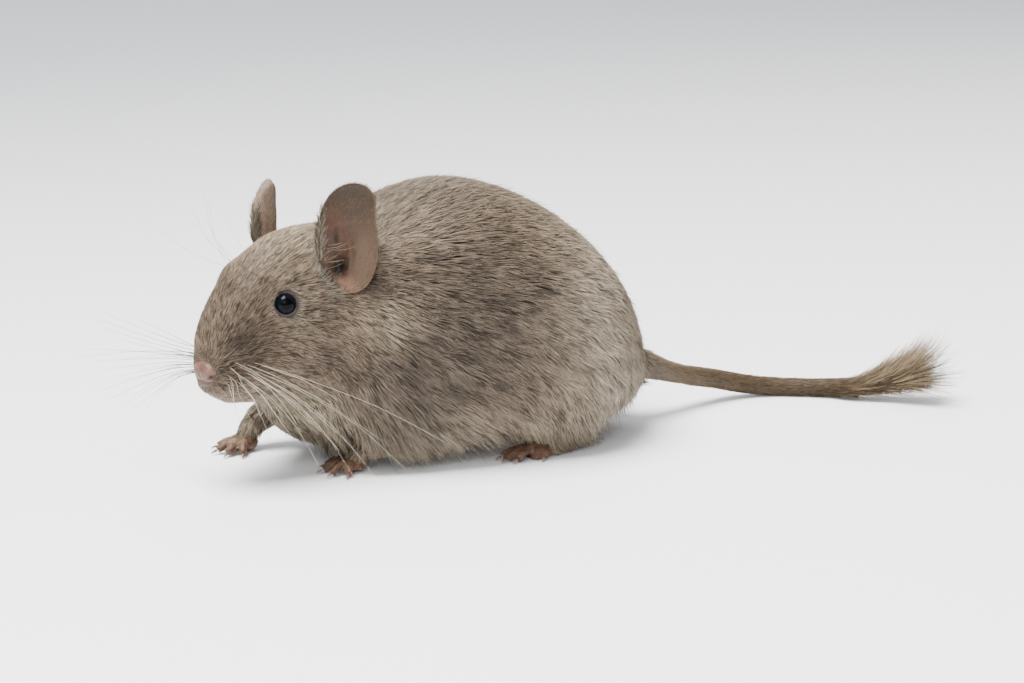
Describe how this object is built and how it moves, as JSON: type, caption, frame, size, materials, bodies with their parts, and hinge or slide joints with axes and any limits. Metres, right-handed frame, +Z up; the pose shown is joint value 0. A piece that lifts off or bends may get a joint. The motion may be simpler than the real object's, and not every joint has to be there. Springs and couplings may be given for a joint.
{
  "type": "degu",
  "caption": "Life-size degu, a small rodent, standing hunched on its four feet with the head turned a little left and the tufted tail trailing.",
  "frame": {"origin": "on the floor, under the middle of the model's bounding box", "axes": "+Z up, nose towards -X, the animal's left side towards -Y, tail towards +X"},
  "size_m": [0.2494, 0.078, 0.0811],
  "materials": {
    "body_coat": "short fur, matt",
    "leg_coat": "short fur, matt",
    "face_coat": "very short fur, matt",
    "pale_coat": "very short fur, matt",
    "tail_coat": "short bristly hair, matt",
    "tuft_coat": "long bristly hair, matt",
    "ear_skin": "thin bare skin, satin",
    "paw_skin": "bare skin, satin",
    "nose_skin": "bare skin, satin",
    "eye_gloss": "wet gloss",
    "horn": "pale horn, satin"
  },
  "bodies": {
    "root": {"ear_left": "ear_skin", "ear_right": "ear_skin", "eye_left": "eye_gloss", "eye_right": "eye_gloss", "foreclaw_left_1": "horn", "foreclaw_left_2": "horn", "foreclaw_left_3": "horn", "foreclaw_left_4": "horn", "foreclaw_right_1": "horn", "foreclaw_right_2": "horn", "foreclaw_right_3": "horn", "foreclaw_right_4": "horn", "foreleg_left": "leg_coat", "foreleg_right": "leg_coat", "forepaw_left": "paw_skin", "forepaw_right": "paw_skin", "head": "body_coat", "hindclaw_left_1": "horn", "hindclaw_left_2": "horn", "hindclaw_left_3": "horn", "hindclaw_left_4": "horn", "hindclaw_left_5": "horn", "hindclaw_right_1": "horn", "hindclaw_right_2": "horn", "hindclaw_right_3": "horn", "hindclaw_right_4": "horn", "hindclaw_right_5": "horn", "hindfoot_left": "paw_skin", "hindfoot_right": "paw_skin", "hindleg_left": "leg_coat", "hindleg_right": "leg_coat", "lower_jaw": "pale_coat", "muzzle": "face_coat", "neck": "body_coat", "nose": "nose_skin", "tail_base": "tail_coat", "tail_end": "tail_coat", "tail_middle": "tail_coat", "tail_tuft": "tuft_coat", "torso": "body_coat"}
  },
  "joints": []
}
